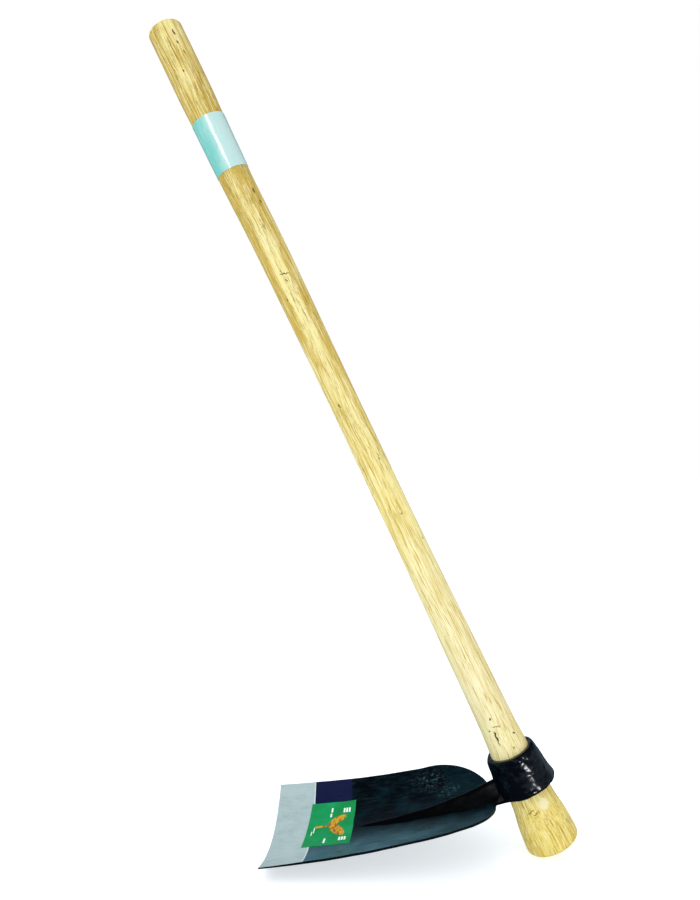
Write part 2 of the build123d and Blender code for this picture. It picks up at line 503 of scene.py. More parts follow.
class Graph:
    """One material's node tree, with short calls for the nodes that the finishes use."""

    def __init__(self, name: str) -> None:
        """Start a material.

        Args:
            name: The material's name.
        """
        self.material = bpy.data.materials.new(name)
        self.material.use_nodes = True
        self.tree = self.material.node_tree
        self.shader = self.tree.nodes["Principled BSDF"]

    def node(
        self, kind: str, inputs: dict[int | str, object], **settings: object,
    ) -> bpy.types.Node:
        """Add a node.

        Args:
            kind: Its type name, without the prefix.
            inputs: Values or sockets for its inputs.
            settings: Its own settings.

        Returns:
            The node.
        """
        made = self.tree.nodes.new(f"ShaderNode{kind}")
        for key, value in settings.items():
            setattr(made, key, value)
        for key, value in inputs.items():
            self.feed(made.inputs[key], value)
        return made

    def feed(self, socket: Socket, value: object) -> None:
        """Link a socket to another, or set its value."""
        if isinstance(value, Socket):
            self.tree.links.new(value, socket)
        else:
            socket.default_value = value

    def place(self, bench: Matrix) -> Socket:
        """Coordinates on a bench, from the piece's own Object coordinates."""
        back = bench.inverted()
        source = self.node("TexCoord", {}).outputs["Object"]
        return self.node("Mapping", {
            "Vector": source, "Location": back.translation, "Rotation": back.to_euler("XYZ"),
        }).outputs[0]

    def stretch(self, place: Socket, scale: Triple) -> Socket:
        """Coordinates scaled on each axis."""
        return self.node("Mapping", {"Vector": place, "Scale": scale}).outputs[0]

    def moved(self, place: Socket, by: dict[int, Socket]) -> Socket:
        """Coordinates moved by a value on each axis that is given."""
        move = self.node("CombineXYZ", by).outputs[0]
        return self.node("VectorMath", {0: place, 1: move}, operation="ADD").outputs[0]

    def part(self, place: Socket, axis: Axis) -> Socket:
        """One coordinate of a place."""
        return self.node("SeparateXYZ", {0: place}).outputs[axis.name]

    def noise(self, place: Socket, scale: float, detail: float, rough: float = 0.5) -> Socket:
        """Cloudy noise, about 0 to 1."""
        return self.node("TexNoise", {
            "Vector": place, "Scale": scale, "Detail": detail, "Roughness": rough,
        }).outputs[0]

    def grain(
        self, place: Socket, drawn: Triple, scale: float, detail: float, rough: float = 0.5,
    ) -> Socket:
        """Noise drawn out on some axes."""
        return self.noise(self.stretch(place, drawn), scale, detail, rough)

    def sum(self, one: Socket, other: Socket | float) -> Socket:
        """One value plus another."""
        return self.node("Math", {0: one, 1: other}, operation="ADD").outputs[0]

    def times(self, one: Socket, other: Socket | float) -> Socket:
        """One value times another."""
        return self.node("Math", {0: one, 1: other}, operation="MULTIPLY").outputs[0]

    def most(self, values: Sequence[Socket]) -> Socket:
        """The largest of several values."""
        found = values[0]
        for value in values[1:]:
            found = self.node("Math", {0: found, 1: value}, operation="MAXIMUM").outputs[0]
        return found

    def span(
        self, value: Socket, low: float, high: float, to_low: float = 0.0, to_high: float = 1.0,
    ) -> Socket:
        """A value eased from one span to another, and held at its ends."""
        inputs = {0: value, 1: low, 2: high, 3: to_low, 4: to_high}
        return self.node("MapRange", inputs, interpolation_type="SMOOTHSTEP").outputs[0]

    def mix(self, share: Socket | float, one: Socket | Colour, other: Socket | Colour) -> Socket:
        """Two colours mixed."""
        return self.node("Mix", {0: share, 6: one, 7: other}, data_type="RGBA").outputs[2]

    def coat(
        self, colour: Socket | Colour, over: Socket | Colour, mask: Socket, share: float,
    ) -> Socket:
        """A colour with a share of another laid over it where a mask is."""
        return self.mix(self.times(mask, share), colour, over)

    def ramp(self, value: Socket, stops: Sequence[tuple[float, Colour]]) -> Socket:
        """Colour read from a row of stops."""
        made = self.node("ValToRGB", {0: value})
        row = made.color_ramp
        row.elements[0].position, row.elements[0].color = stops[0]
        row.elements[1].position, row.elements[1].color = stops[-1]
        for position, colour in stops[1:-1]:
            row.elements.new(position).color = colour
        return made.outputs[0]

    def spot(
        self, place: Socket, centre: Triple, radii: Triple, edge: float, turn: float = 0.0,
    ) -> Socket:
        """Mask of an ellipsoid: 1 inside, 0 outside.

        Args:
            place: Coordinates.
            centre: Its centre.
            radii: Its radii.
            edge: Share of the radius over which it fades.
            turn: Turn about Z, in degrees.

        Returns:
            The mask.
        """
        local = self.node("Mapping", {
            "Vector": place, "Location": centre, "Scale": radii,
            "Rotation": (0, 0, math.radians(turn)),
        }, vector_type="TEXTURE").outputs[0]
        far = self.node("VectorMath", {0: local}, operation="LENGTH").outputs["Value"]
        return self.span(far, 1.0, 1.0 - edge)

    def block(
        self, place: Socket, centre: Pair, half: Pair, soft: float, turn: float = 0.0,
    ) -> Socket:
        """Mask of a rectangle on X and Y: 1 inside, 0 outside.

        Args:
            place: Coordinates.
            centre: Its centre.
            half: Half its size on each axis.
            soft: Width of its fading edge.
            turn: Turn about Z, in degrees.

        Returns:
            The mask.
        """
        local = self.node("Mapping", {
            "Vector": place, "Location": (*centre, 0), "Rotation": (0, 0, math.radians(turn)),
        }, vector_type="TEXTURE").outputs[0]
        masks = []
        for axis, size in zip((Axis.X, Axis.Y), half):
            away = self.node("Math", {0: self.part(local, axis)}, operation="ABSOLUTE").outputs[0]
            masks.append(self.span(away, size + soft / 2, size - soft / 2))
        return self.times(masks[0], masks[1])

    def bump(self, height: Socket, distance: float, before: Socket | None = None) -> Socket:
        """Normal of a raised pattern whose height runs from 0 to 1 over a distance."""
        inputs = {"Height": height, "Distance": distance, "Strength": 1.0}
        if before is not None:
            inputs["Normal"] = before
        return self.node("Bump", inputs).outputs[0]

    def finish(self, **inputs: object) -> Material:
        """Set the shader's inputs, named with underscores for spaces, and give the material."""
        for key, value in inputs.items():
            self.feed(self.shader.inputs[key.replace("_", " ")], value)
        return self.material


# ---- finishes -------------------------------------------------------------------------


class Stain(Enum):
    """Colours of single marks in the wood."""

    RED_BROWN = tone(112, 44, 14)
    BLACK = tone(48, 40, 26)
    BLUE_BLACK = tone(34, 42, 58)
    BROWN = tone(150, 116, 44)
    PALE = tone(238, 226, 178)


@dataclass(frozen=True)
class Mark:
    """A knot, crack or dash in the wood, on the side that faces the front.

    Attributes:
        height: Along the handle, from the seat's lower end.
        side: Sideways from the handle's axis, away from the blade.
        length: Half length along the grain.
        width: Half width across it.
        stain: Its colour.
        lean: Turn off the grain, in degrees.
    """

    height: float
    side: float
    length: float
    width: float
    stain: Stain
    lean: float = 0.0


WOOD_MARKS = (
    Mark(0.9098, 0.0084, 0.0045, 0.0011, Stain.RED_BROWN),
    Mark(0.8977, 0.0073, 0.0022, 0.0008, Stain.RED_BROWN),
    Mark(0.8858, 0.0095, 0.0026, 0.0009, Stain.RED_BROWN),
    Mark(0.8656, 0.0000, 0.0020, 0.0006, Stain.BLACK),
    Mark(0.7172, 0.0122, 0.0052, 0.0012, Stain.RED_BROWN),
    Mark(0.7039, 0.0144, 0.0020, 0.0008, Stain.RED_BROWN),
    Mark(0.6840, 0.0049, 0.0036, 0.0006, Stain.BLACK),
    Mark(0.6195, 0.0035, 0.0011, 0.0068, Stain.BLACK, 12.0),
    Mark(0.6235, 0.0010, 0.0040, 0.0007, Stain.BLACK, 6.0),
    Mark(0.6120, 0.0022, 0.0026, 0.0006, Stain.BLACK, -24.0),
    Mark(0.5933, -0.0066, 0.0026, 0.0010, Stain.BLACK, -10.0),
    Mark(0.4637, -0.0049, 0.0030, 0.0010, Stain.BLUE_BLACK),
    Mark(0.3950, 0.0100, 0.0060, 0.0005, Stain.BROWN, 4.0),
    Mark(0.3287, 0.0055, 0.0010, 0.0018, Stain.BROWN),
    Mark(0.2943, 0.0150, 0.0024, 0.0008, Stain.BLACK),
    Mark(0.0862, -0.0044, 0.0020, 0.0012, Stain.BLACK, 30.0),
    Mark(0.0741, -0.0110, 0.0012, 0.0016, Stain.BLACK),
    Mark(0.0765, -0.0020, 0.0008, 0.0060, Stain.BROWN, 10.0),
    Mark(0.0650, -0.0066, 0.0105, 0.0013, Stain.BLACK, 3.0),
    Mark(0.0619, 0.0122, 0.0012, 0.0010, Stain.BLACK),
    Mark(0.0480, 0.0060, 0.0016, 0.0012, Stain.BROWN),
    Mark(-0.0215, -0.0075, 0.0010, 0.0068, Stain.BROWN, -24.0),
    Mark(-0.0250, -0.0035, 0.0009, 0.0050, Stain.BLACK, -24.0),
    Mark(-0.0190, 0.0080, 0.0080, 0.0075, Stain.PALE),
    Mark(-0.0500, 0.0135, 0.0030, 0.0008, Stain.BLACK),
    Mark(-0.0550, 0.0135, 0.0140, 0.0006, Stain.BLACK, 1.0),
    Mark(-0.0360, 0.0165, 0.0030, 0.0008, Stain.BROWN),
)


@dataclass(frozen=True)
class WoodFinish:
    """Pale shaved hardwood: long growth bands, fine fibres, open pores and a few flaws.

    Attributes:
        low: Height of the knob's end.
        high: Height of the grip's end.
        pale: Colour of the open wood along the handle.
        deep: Colour of the denser bands along the handle.
        streak: Colour of the darkest fibres.
        pore: Colour in the open pores.
        fresh: Colour of the lightest fibres.
        marks: Single flaws, all on the front.
        skin: Radius at which the marks are laid.
        mark_depth: How deep they reach, so that they don't come through at the back.
    """

    low: float
    high: float
    pale: Sequence[tuple[float, Colour]] = (
        (0.0, tone(230, 210, 114)), (0.055, tone(232, 214, 126)), (0.10, tone(235, 224, 164)),
        (0.20, tone(238, 228, 180)), (0.33, tone(238, 227, 170)), (0.40, tone(236, 220, 144)),
        (0.62, tone(236, 222, 152)), (0.80, tone(234, 219, 148)), (1.0, tone(232, 218, 142)),
    )
    deep: Sequence[tuple[float, Colour]] = (
        (0.0, tone(206, 172, 60)), (0.055, tone(210, 180, 76)), (0.10, tone(218, 198, 126)),
        (0.20, tone(223, 203, 136)), (0.33, tone(220, 198, 122)), (0.40, tone(208, 180, 80)),
        (0.62, tone(201, 173, 78)), (0.80, tone(193, 164, 70)), (1.0, tone(187, 158, 62)),
    )
    streak: Colour = tone(172, 134, 46)
    pore: Colour = tone(134, 100, 34)
    fresh: Colour = tone(250, 242, 206)
    marks: Sequence[Mark] = WOOD_MARKS
    skin: float = 0.021
    mark_depth: float = 0.012

    def made(self, stance: Stance) -> Material:
        """The material, with its grain along the handle."""
        graph = Graph("shaved_hardwood")
        place = graph.place(stance.matrix)
        wander = graph.grain(place, (1, 1, 0.35), 22, 2)
        drift = graph.moved(place, {
            0: graph.span(wander, 0.2, 0.8, -0.0022, 0.0022),
            1: graph.span(wander, 0.2, 0.8, 0.0018, -0.0018),
        })
        bands = graph.grain(drift, (1, 1, 0.018), 260, 3, 0.6)
        broad = graph.grain(drift, (1, 1, 0.06), 70, 2, 0.5)
        fibre = graph.grain(drift, (1, 1, 0.028), 1000, 4, 0.7)
        pore = graph.grain(drift, (1, 1, 0.06), 1150, 2, 0.5)
        blotch = graph.grain(place, (1, 1, 0.5), 42, 3, 0.6)
        ends = {0: graph.part(place, Axis.Z), 1: self.low, 2: self.high}
        along = graph.node("MapRange", ends).outputs[0]
        weight = graph.times(graph.span(bands, 0.38, 0.64), 0.34)
        for value, low, high, share in (
            (broad, 0.42, 0.64, 0.30), (fibre, 0.40, 0.66, 0.40), (blotch, 0.45, 0.70, 0.16),
        ):
            weight = graph.sum(weight, graph.times(graph.span(value, low, high), share))
        # Painted shade: the deeper colour is laid along both flanks of the handle.
        side_shade = graph.times(self.edges(graph, place), graph.span(broad, 0.2, 0.6, 0.48, 0.85))
        weight = graph.span(graph.sum(weight, side_shade), 0.15, 1.0)
        colour = graph.mix(weight, graph.ramp(along, self.pale), graph.ramp(along, self.deep))
        streak = graph.times(graph.span(fibre, 0.54, 0.62), graph.span(bands, 0.34, 0.54))
        colour = graph.coat(colour, self.streak, streak, 0.72)
        pores = graph.times(graph.span(pore, 0.59, 0.67), graph.span(blotch, 0.34, 0.56))
        full, thin = (1, 1, 1, 1), (0.35, 0.35, 0.35, 1)
        where = graph.ramp(along, ((0.06, full), (0.11, thin), (0.36, thin), (0.44, full)))
        pores = graph.times(pores, where)
        colour = graph.coat(colour, self.pore, pores, 0.55)
        colour = graph.coat(colour, self.fresh, graph.span(fibre, 0.46, 0.37), 0.50)
        colour = self.flaws(graph, place, colour)
        height = graph.sum(graph.times(fibre, 0.8), graph.times(pores, -0.8))
        normal = graph.bump(height, 0.00034, graph.bump(bands, 0.0005))
        rough = graph.span(graph.sum(fibre, graph.times(blotch, 0.4)), 0.4, 1.0, 0.46, 0.66)
        return graph.finish(
            Base_Color=colour, Roughness=rough, Normal=normal, Specular_IOR_Level=0.25,
        )

    def edges(self, graph: Graph, place: Socket) -> Socket:
        """Painted shade: the deeper colour laid along both flanks above the lower shaft."""
        across, height = graph.part(place, Axis.X), graph.part(place, Axis.Z)
        left = graph.times(graph.span(across, -0.003, -0.011), graph.span(height, 0.50, 0.57))
        left = graph.times(left, graph.span(height, 0.86, 0.76, 0.3, 1.0))
        right = graph.span(across, 0.006, 0.015)
        right = graph.times(right, graph.span(height, 0.30, 0.5, 0.1, 0.5))
        return graph.most([left, right])

    def flaws(self, graph: Graph, place: Socket, colour: Socket) -> Socket:
        """Lay the single marks over a colour.

        Args:
            graph: The material.
            place: Bench coordinates.
            colour: The wood's colour.

        Returns:
            The colour with its marks.
        """
        ragged = graph.grain(place, (1, 1, 0.5), 480, 2, 0.6)
        shaken = graph.moved(place, {
            0: graph.span(ragged, 0.2, 0.8, -0.0009, 0.0009),
            2: graph.span(ragged, 0.2, 0.8, 0.0014, -0.0014),
        })
        facing = {"Vector": shaken, "Rotation": (math.radians(90), 0, 0)}
        front = graph.node("Mapping", facing).outputs[0]
        for stain in Stain:
            masks = []
            for mark in (m for m in self.marks if m.stain is stain):
                deep = math.sqrt(self.skin**2 - mark.side**2)
                centre = (mark.side, -mark.height, -deep)
                radii = (mark.width, mark.length, self.mark_depth)
                masks.append(graph.spot(front, centre, radii, 0.4, mark.lean))
            colour = graph.coat(colour, stain.value, graph.most(masks), 0.95)
        return colour


@dataclass(frozen=True)
class FilmFinish:
    """Glossy mint green printed film, faint creases along the handle, painted light on one side.

    Attributes:
        film: Its colour.
        edge: Its paler colour: worn in the creases, painted light on the side away from the blade.
    """

    film: Colour = tone(118, 196, 186)
    edge: Colour = tone(206, 228, 224)

    def made(self, stance: Stance) -> Material:
        """The material."""
        graph = Graph("label_film")
        place = graph.place(stance.matrix)
        creases = graph.grain(place, (1, 1, 0.12), 260, 3, 0.6)
        cloud = graph.grain(place, (1, 1, 0.4), 80, 3, 0.6)
        ragged = graph.span(cloud, 0.3, 0.7, -0.003, 0.003)
        # Painted light: the paler colour is laid over the film from its middle to the side away
        # from the blade.
        fade = graph.span(graph.sum(graph.part(place, Axis.X), ragged), -0.014, 0.004)
        colour = graph.coat(self.film, self.edge, fade, 0.75)
        colour = graph.coat(colour, self.edge, graph.span(creases, 0.56, 0.70), 0.4)
        height = graph.sum(graph.times(creases, 0.8), graph.times(cloud, 0.4))
        return graph.finish(
            Base_Color=colour, Roughness=graph.span(cloud, 0.3, 0.7, 0.16, 0.26),
            Normal=graph.bump(height, 0.00022), Coat_Weight=0.6, Coat_Roughness=0.16,
        )


@dataclass(frozen=True)
class ForgedPaint:
    """Thick black paint over forged steel, glossy unless it is told otherwise.

    Attributes:
        name: The material's name.
        paint: Its colour.
        dust: Colour of dull dust in its hollows.
        gloss: Roughness where it is cleanest.
        dull: Roughness where it is dustiest.
        sheen: Strength of its reflection.
        lump: Depth of its unevenness.
    """

    name: str
    paint: Colour = tone(2, 5, 12)
    dust: Colour = tone(8, 20, 28)
    gloss: float = 0.10
    dull: float = 0.30
    sheen: float = 0.5
    lump: float = 0.0018

    def made(self, stance: Stance) -> Material:
        """The material."""
        graph = Graph(self.name)
        place = graph.place(stance.matrix)
        lumps = graph.noise(place, 95, 1, 0.5)
        pits = graph.noise(place, 620, 2, 0.5)
        worn = graph.noise(place, 75, 4, 0.65)
        colour = graph.mix(graph.span(worn, 0.52, 0.72), self.paint, self.dust)
        height = graph.sum(lumps, graph.times(pits, 0.035))
        rough = graph.span(worn, 0.42, 0.70, self.gloss, self.dull)
        return graph.finish(
            Base_Color=colour, Roughness=rough, Normal=graph.bump(height, self.lump),
            Specular_IOR_Level=self.sheen,
        )


@dataclass(frozen=True)
class BladePaint:
    """Thin dark slate paint on the pressed plate, with rough scale, a tinted patch, pinholes and a
    painted reflection.

    Attributes:
        paint: Usual colour.
        shade: Darkest colour at random and in pinholes; painted shade on the thin faces and
            underside.
        slate: Paler colour laid over the near half: painted reflection, broken by dust streaks.
        blue: Colour towards the ground band on that half.
        flake: Colour of the rough scale.
        patch: Colour of the purple patch beside the ground band.
        patch_middle: Its middle, on the blade's bench.
        patch_half: Half its size there.
    """

    paint: Colour = tone(0, 29, 39)
    shade: Colour = tone(0, 6, 14)
    slate: Colour = tone(70, 112, 126)
    blue: Colour = tone(44, 88, 116)
    flake: Colour = tone(62, 98, 106)
    patch: Colour = tone(16, 24, 66)
    patch_middle: Pair = (0.0152, -0.079)
    patch_half: Pair = (0.0222, 0.026)

    def made(
        self, bench: Matrix, plate: PlateFrame, scaly: Sequence[Sequence[float]],
    ) -> Material:
        """The material, patterned on the blade's bench.

        Args:
            bench: The blade's bench.
            plate: Its sizes.
            scaly: Middles and radii of the rough patches.

        Returns:
            The material.
        """
        graph = Graph("blade_paint")
        place = graph.place(bench)
        cloud = graph.noise(place, 30, 4, 0.6)
        drag = graph.grain(place, (0.18, 1, 1), 420, 3, 0.6)
        scale = graph.noise(place, 330, 4, 0.66)
        pinhole = graph.noise(place, 300, 1, 0.4)
        side, along = graph.part(place, Axis.Y), graph.part(place, Axis.X)
        colour = graph.mix(graph.span(cloud, 0.40, 0.62), self.shade, self.paint)
        # Painted reflection: the near half is laid paler in the slate colour, mottled by cloud and
        # dust streaks; a little dust streaking lies over the whole plate.
        near = graph.span(side, 0.004, 0.065)
        near = graph.times(near, graph.span(along, -0.140, -0.030, 0.30, 0.95))
        streaks = graph.span(drag, 0.35, 0.7, 0.0, 0.3)
        dust = graph.times(near, graph.sum(graph.span(cloud, 0.3, 0.7, 0.45, 0.8), streaks))
        dust = graph.sum(dust, graph.times(graph.span(drag, 0.5, 0.75), 0.10))
        colour = graph.mix(dust, colour, self.slate)
        tint = graph.times(graph.span(along, 0.0, 0.034), graph.span(side, 0.03, 0.08))
        colour = graph.coat(colour, self.blue, tint, 0.55)
        patch = graph.block(place, self.patch_middle, self.patch_half, 0.002)
        colour = graph.coat(colour, self.patch, patch, 0.9)
        flat = graph.stretch(place, (1, 1, 0))
        rough_here = graph.most([
            graph.spot(flat, (reach - plate.reach, across, 0), (long, wide, 1), 0.7)
            for reach, across, long, wide in scaly
        ])
        mottled = graph.times(rough_here, graph.span(scale, 0.52, 0.62))
        colour = graph.coat(colour, self.flake, mottled, 0.5)
        colour = graph.coat(colour, self.flake, graph.span(scale, 0.66, 0.74), 0.30)
        colour = graph.coat(colour, self.shade, graph.span(pinhole, 0.72, 0.77), 0.8)
        # Painted shade: faces turned sideways or down, the plate's thin faces and its underside,
        # take the darkest colour.
        normal = graph.node("TexCoord", {}).outputs["Normal"]
        wall = graph.span(graph.part(normal, Axis.Z), 0.45, 0.25)
        colour = graph.mix(wall, colour, self.shade)
        fine = graph.sum(graph.times(cloud, 0.6), graph.times(drag, 0.3))
        height = graph.sum(graph.times(graph.times(rough_here, scale), 1.6), fine)
        rough = graph.span(graph.sum(cloud, graph.times(drag, 0.3)), 0.45, 0.9, 0.32, 0.48)
        return graph.finish(
            Base_Color=colour, Roughness=rough, Normal=graph.bump(height, 0.0006),
            Specular_IOR_Level=0.15,
        )


@dataclass(frozen=True)
class GroundSteel:
    """Bare steel ground with lines that run to the edge, and a painted highlight where it starts.

    Attributes:
        steel: Its usual colour.
        dark: Colour in the deeper grinding lines and stains.
        speck: Colour of small dark specks.
        painted_glint: Colour of the painted highlight on the line where the band starts.
    """

    steel: Colour = tone(188, 210, 212)
    dark: Colour = tone(160, 184, 188)
    speck: Colour = tone(104, 122, 128)
    painted_glint: Colour = tone(232, 244, 246)

    def made(self, bench: Matrix, start: float) -> Material:
        """The material, patterned on the blade's bench.

        Args:
            bench: The blade's bench.
            start: Where the ground band starts on it.

        Returns:
            The material.
        """
        graph = Graph("ground_steel")
        place = graph.place(bench)
        lines = graph.grain(place, (0.05, 1, 1), 1500, 3, 0.6)
        cloud = graph.noise(place, 46, 4, 0.65)
        specks = graph.noise(place, 700, 2, 0.5)
        both = graph.sum(graph.times(lines, 0.5), graph.times(cloud, 0.5))
        colour = graph.mix(graph.span(both, 0.42, 0.72), self.steel, self.dark)
        colour = graph.coat(colour, self.speck, graph.span(specks, 0.68, 0.74), 0.45)
        # Painted highlight: a thin pale line where the ground band starts, for the glint on its
        # ridge.
        line = graph.span(graph.part(place, Axis.X), start + 0.0016, start + 0.0008)
        colour = graph.coat(colour, self.painted_glint, line, 0.8)
        rough = graph.span(graph.sum(lines, graph.times(cloud, 0.5)), 0.5, 1.0, 0.34, 0.52)
        normal = graph.bump(lines, 0.00012)
        return graph.finish(Base_Color=colour, Roughness=rough, Metallic=0.2, Normal=normal)


@dataclass(frozen=True)
class StickerPrint:
    """Green paper print with a plain sprout and a few plain blocks.

    Attributes:
        ground: Its green.
        ground_pale: The same where the print is thinner.
        sprout: Colour of the sprout.
        husk: Darker colour in it.
        block: Colour of the blocks.
    """

    ground: Colour = tone(0, 140, 72)
    ground_pale: Colour = tone(2, 158, 96)
    sprout: Colour = tone(206, 158, 34)
    husk: Colour = tone(150, 88, 30)
    block: Colour = tone(236, 250, 242)

    def made(self, bench: Matrix) -> Material:
        """The material, patterned on the sticker's own bench."""
        graph = Graph("sticker_print")
        place = graph.place(bench)
        fibre = graph.noise(place, 900, 3, 0.6)
        cloud = graph.noise(place, 40, 3, 0.6)
        vein = graph.grain(place, (1, 0.4, 1), 420, 2, 0.5)
        colour = graph.mix(graph.span(cloud, 0.35, 0.75), self.ground, self.ground_pale)
        leaf = graph.mix(graph.span(vein, 0.42, 0.62), self.sprout, self.husk)
        colour = graph.mix(graph.most(self.leaves(graph, place)), colour, leaf)
        colour = graph.mix(graph.most(self.blocks(graph, place)), colour, self.block)
        return graph.finish(
            Base_Color=colour, Roughness=graph.span(fibre, 0.3, 0.7, 0.42, 0.55),
            Normal=graph.bump(graph.sum(fibre, graph.times(cloud, 2.0)), 0.00012),
            Specular_IOR_Level=0.2,
        )

    def leaves(self, graph: Graph, place: Socket) -> list[Socket]:
        """Masks of the sprout: two leaves and a stem."""
        flat = graph.stretch(place, (1, 1, 0))
        return [
            graph.spot(flat, (-0.0080, 0.0080, 0), (0.0068, 0.0160, 1), 0.12, 30),
            graph.spot(flat, (-0.0070, -0.0130, 0), (0.0060, 0.0130, 1), 0.12, -44),
            graph.block(flat, (0.0065, -0.0020), (0.0105, 0.0020), 0.0004, 8),
        ]

    def blocks(self, graph: Graph, place: Socket) -> list[Socket]:
        """Masks of the plain blocks: two groups of bars and some short rules."""
        flat = graph.stretch(place, (1, 1, 0))
        rows = [
            ((-0.0195 + 0.0030 * step, across), (0.0010, 0.0042))
            for across in (-0.0310, 0.0310) for step in range(3)
        ]
        rows += [
            ((0.0010, -0.0330), (0.0009, 0.0042)), ((0.0015, -0.0230), (0.0009, 0.0034)),
            ((0.0030, 0.0335), (0.0010, 0.0060)), ((0.0180, 0.0060), (0.0005, 0.0060)),
            ((0.0200, 0.0130), (0.0005, 0.0045)),
        ]
        return [graph.block(flat, middle, half, 0.0006) for middle, half in rows]


# ---- pieces ---------------------------------------------------------------------------


def register(piece: Piece, body: Body, slot: Slot, *nodes: str) -> None:
    """Tie a finished piece to its body, and hide the nodes that it stands for."""
    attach(piece, body.value)
    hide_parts(*nodes)
    log.info("%s: %d faces", piece.name, len(piece.data.polygons))


@dataclass
class Handle:
    """Hand-shaved handle: knob, seat in the eye, shaft and grip.

    Attributes:
        knob: Heights and radii from the knob's end up to the seat.
        seat: The same at the two ends of the tapered seat.
        shaft: The same from the seat to the grip.
        low: Height of the knob's end.
        high: Height of the grip's end.
        knob_rounding: Rounding of the knob's rim.
        grip_rounding: Rounding of the grip's rim.
        sway: Heights and sideways drift of the shaft's slight natural bend.
        label_middle: Height of the label's middle, under which the wood is true.
        label_half: Half the height that is kept true there.
        fade: Lengths over which the unevenness grows: below the seat, from the knob's end and
            beside the label, and above the seat and below the grip's end.
        true_ends: Length kept true at the knob's end, above the seat and at the grip's end.
        pitch: Distance between rings.
        around: Points round each ring.
    """

    knob: tuple[Pair, ...] = (
        (-0.0726, 0.0298), (-0.058, 0.0294), (-0.041, 0.0279), (-0.0245, 0.0251),
        (0.0, 0.0234), (0.0401, 0.0218),
    )
    seat: tuple[Pair, ...] = ((0.0, 0.0234), (0.0401, 0.0218))
    shaft: tuple[Pair, ...] = (
        (0.0, 0.0234), (0.0401, 0.0218), (0.078, 0.0202), (0.160, 0.0189), (0.280, 0.0172),
        (0.400, 0.0162), (0.520, 0.0163), (0.640, 0.0173), (0.749, 0.0180), (0.813, 0.0188),
        (0.845, 0.0194), (0.9274, 0.0194),
    )
    low: float = -0.0726
    high: float = 0.9274
    knob_rounding: float = 0.005
    grip_rounding: float = 0.004
    sway: tuple[Pair, ...] = (
        (0.05, 0.0), (0.20, 0.0002), (0.40, 0.0009), (0.60, 0.0018), (0.68, 0.0012),
        (0.742, 0.0), (0.83, 0.0), (0.93, 0.0),
    )
    label_middle: float = 0.781
    label_half: float = 0.034
    fade: Triple = (0.012, 0.02, 0.03)
    true_ends: Triple = (0.008, 0.002, 0.005)
    pitch: float = 0.0078
    around: int = 96

    def rings(self) -> list[Ring]:
        """Rings from the knob's end to the grip's end."""
        knob_edge, grip_edge = self.knob_rounding, self.grip_rounding
        inset = self.knob[0][1] - knob_edge
        made = [Ring(self.low, share * inset) for share in (0.25, 0.5, 0.75)]
        made += rounded((inset, self.low + knob_edge), knob_edge, -90, -8, 7)
        for height in steps(self.low + knob_edge, 0.0, 0.004):
            made.append(Ring(height, smooth_through(self.knob, height)))
        for height in steps(0.0, self.seat[1][0], 0.005):
            share = height / self.seat[1][0]
            made.append(Ring(height, self.seat[0][1] + share * (self.seat[1][1] - self.seat[0][1])))
        for height in steps(self.seat[1][0], self.high - grip_edge, self.pitch):
            sway = smooth_through(self.sway, height) if height > self.sway[0][0] else 0.0
            made.append(Ring(height, smooth_through(self.shaft, height), sway))
        grip = self.shaft[-1][1]
        made += rounded((grip - grip_edge, self.high - grip_edge), grip_edge, 0, 90, 6)
        made += [Ring(self.high, share * (grip - grip_edge)) for share in (0.75, 0.5, 0.25)]
        return made

    def shaved(self, co: Vector) -> float:
        """Share of the unevenness at a place: none in the seat and at the ends."""
        (short, middling, long), (knob, seat, grip) = self.fade, self.true_ends
        if co.z < 0:
            return min(-co.z / short, (co.z - self.low - knob) / middling)
        return min(
            (co.z - self.seat[1][0] - seat) / long, (self.high - grip - co.z) / long,
            (abs(co.z - self.label_middle) - self.label_half) / middling,
        )

    def build(self, stance: Stance) -> None:
        """Turn, shave and finish the handle.

        Args:
            stance: How the head's frame stands.
        """
        piece = turn("handle_visual", self.rings(), self.around)
        group = weigh(piece, "shaved", self.shaved)
        roughen(piece, 0.011, 0.0011, group, (1, 1, 16))
        roughen(piece, 0.0032, 0.00032, group, (1, 1, 22))
        soften(piece)
        stance.stand(piece)
        piece.data.materials.append(WoodFinish(self.low, self.high).made(stance))
        register(piece, Body.HANDLE, Slot.WOOD, "handle")


